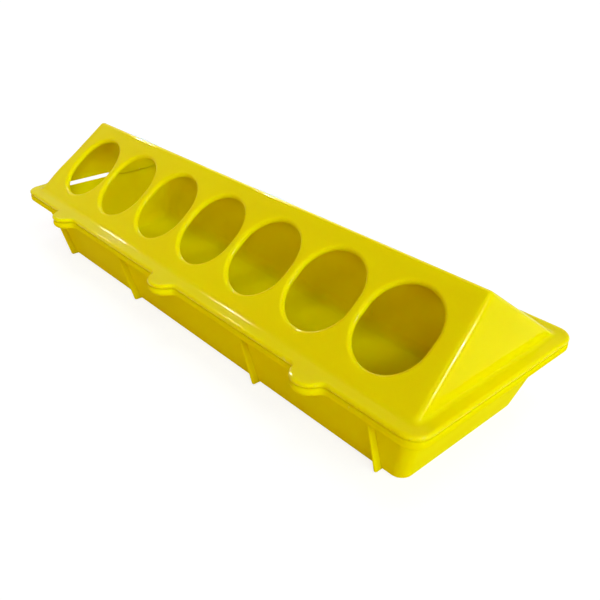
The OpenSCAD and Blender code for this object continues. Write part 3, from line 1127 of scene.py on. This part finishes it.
def add_lamp(name, kind, azimuth, elevation, colour):
    """Lamp in a direction that shines at the feeder's middle."""
    data = bpy.data.lights.new(name, kind)
    data.color = colour
    lamp = bpy.data.objects.new(name, data)
    way = lamp_way(azimuth, elevation)
    lamp.location = LAMP_AIM + LAMP_DISTANCE * way
    lamp.rotation_euler = way.to_track_quat("Z", "Y").to_euler()
    bpy.context.scene.collection.objects.link(lamp)
    return lamp


def add_soft_lamp(name, azimuth, elevation, light):
    """Broad even lamp that gives a white face turned to it the brightness of its light."""
    level = max(light)
    data = add_lamp(name, "SUN", azimuth, elevation, [c / level for c in light]).data
    data.energy = math.pi * level
    data.angle = math.radians(LAMP_SPREAD)


def add_strip_lamp(name, azimuth, elevation, width, height, power):
    """White lamp that is only mirrored in the glossy skin and lights nothing else."""
    lamp = add_lamp(name, "AREA", azimuth, elevation, (1.0, 1.0, 1.0))
    lamp.visible_diffuse = False
    lamp.data.shape = "RECTANGLE"
    lamp.data.size, lamp.data.size_y = width, height
    lamp.data.energy = power


def add_floor(colour):
    """Wide floor, just under the feeder."""
    data = bpy.data.meshes.new("floor")
    corners = [(-1, -1), (1, -1), (1, 1), (-1, 1)]
    places = [(FLOOR_REACH * x, FLOOR_REACH * y, -FLOOR_DROP) for x, y in corners]
    data.from_pydata(places, [], [(0, 1, 2, 3)])
    floor = bpy.data.objects.new("floor", data)
    bpy.context.scene.collection.objects.link(floor)
    data.materials.append(floor_material(colour))


def add_world():
    """Light from all around the feeder, and a white backdrop."""
    world = bpy.data.worlds.new("studio")
    bpy.context.scene.world = world
    world.use_nodes = True
    tree = world.node_tree
    tree.nodes.clear()
    light = add_node(tree, "Background", {"Color": WORLD_LIGHT, "Strength": WORLD_STRENGTH})
    white = add_node(tree, "Background", {"Color": BACKDROP, "Strength": 1.0})
    mix = mix_by_ray(tree, light.outputs["Background"], white.outputs["Background"])
    add_node(tree, "OutputWorld", {"Surface": mix})


def add_camera(stage):
    """Camera that frames the feeder as the photo does."""
    scene = bpy.context.scene
    data = bpy.data.cameras.new("photo_camera")
    data.sensor_fit = "HORIZONTAL"
    data.sensor_width = SENSOR_WIDTH
    data.lens = stage.lens
    data.shift_x, data.shift_y = stage.shift
    data.clip_start, data.clip_end = CLIP_START, CLIP_END
    camera = bpy.data.objects.new("photo_camera", data)
    camera.location = stage.camera_place
    camera.rotation_euler = Euler(stage.camera_turn, "XYZ")
    scene.collection.objects.link(camera)
    scene.camera = camera


def build_stage(stage):
    """Floor, world, lamps and camera."""
    bpy.context.scene.view_settings.view_transform = "Standard"
    add_floor(stage.floor)
    add_world()
    for lamp in SOFT_LAMPS:
        add_soft_lamp(*lamp)
    for lamp in STRIP_LAMPS:
        add_strip_lamp(*lamp)
    add_camera(stage)


# Operators and panel


class FEEDER_OT_trough(bpy.types.Operator):
    """Make the trough's moulding in place of its plain solid"""

    bl_idname = "feeder.trough"
    bl_label = "Trough"

    def execute(self, context):
        scene = context.scene
        made = build_trough(
            scene.feeder_rim, scene.feeder_trough, scene.feeder_hinge, scene.feeder_finish)
        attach(made, "trough")
        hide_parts("trough")
        return {"FINISHED"}


class FEEDER_OT_lid(bpy.types.Operator):
    """Make the lid's moulding in place of its plain solid"""

    bl_idname = "feeder.lid"
    bl_label = "Lid"

    def execute(self, context):
        scene = context.scene
        made = build_lid(scene.feeder_rim, scene.feeder_lid, scene.feeder_hinge, scene.feeder_finish)
        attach(made, "lid")
        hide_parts("lid")
        return {"FINISHED"}


class FEEDER_OT_stage(bpy.types.Operator):
    """Make the floor, the lamps and the camera"""

    bl_idname = "feeder.stage"
    bl_label = "Stage"

    def execute(self, context):
        build_stage(context.scene.feeder_stage)
        return {"FINISHED"}


class FEEDER_PT_panel(bpy.types.Panel):
    """Sizes, finish and pieces of the feeder"""

    bl_idname = "FEEDER_PT_panel"
    bl_label = "Trough feeder"
    bl_space_type = "VIEW_3D"
    bl_region_type = "UI"
    bl_category = "Feeder"

    def draw(self, context):
        for group in GROUPS:
            box = self.layout.box()
            box.label(text=GROUPS[group].__doc__)
            held = getattr(context.scene, group)
            for key in GROUPS[group].__annotations__:
                box.prop(held, key)
        for piece in OPERATORS:
            self.layout.operator(piece.bl_idname)


GROUPS = {
    "feeder_rim": FeederRimSizes,
    "feeder_trough": FeederTroughSizes,
    "feeder_lid": FeederLidSizes,
    "feeder_hinge": FeederHingeSizes,
    "feeder_finish": FeederFinish,
    "feeder_stage": FeederStage,
}
OPERATORS = (FEEDER_OT_trough, FEEDER_OT_lid, FEEDER_OT_stage)
CLASSES = (*GROUPS.values(), *OPERATORS, FEEDER_PT_panel)


def register():
    """Register the classes and give the scene their sizes and finish."""
    for made in CLASSES:
        bpy.utils.register_class(made)
    for name, group in GROUPS.items():
        setattr(bpy.types.Scene, name, PointerProperty(type=group))


def unregister():
    """Take the sizes and finish from the scene and unregister the classes."""
    for name in GROUPS:
        delattr(bpy.types.Scene, name)
    for made in reversed(CLASSES):
        bpy.utils.unregister_class(made)


def main():
    """Make the pieces and the stage."""
    register()
    bpy.ops.feeder.trough()
    bpy.ops.feeder.lid()
    bpy.ops.feeder.stage()


if __name__ == "__main__":
    main()
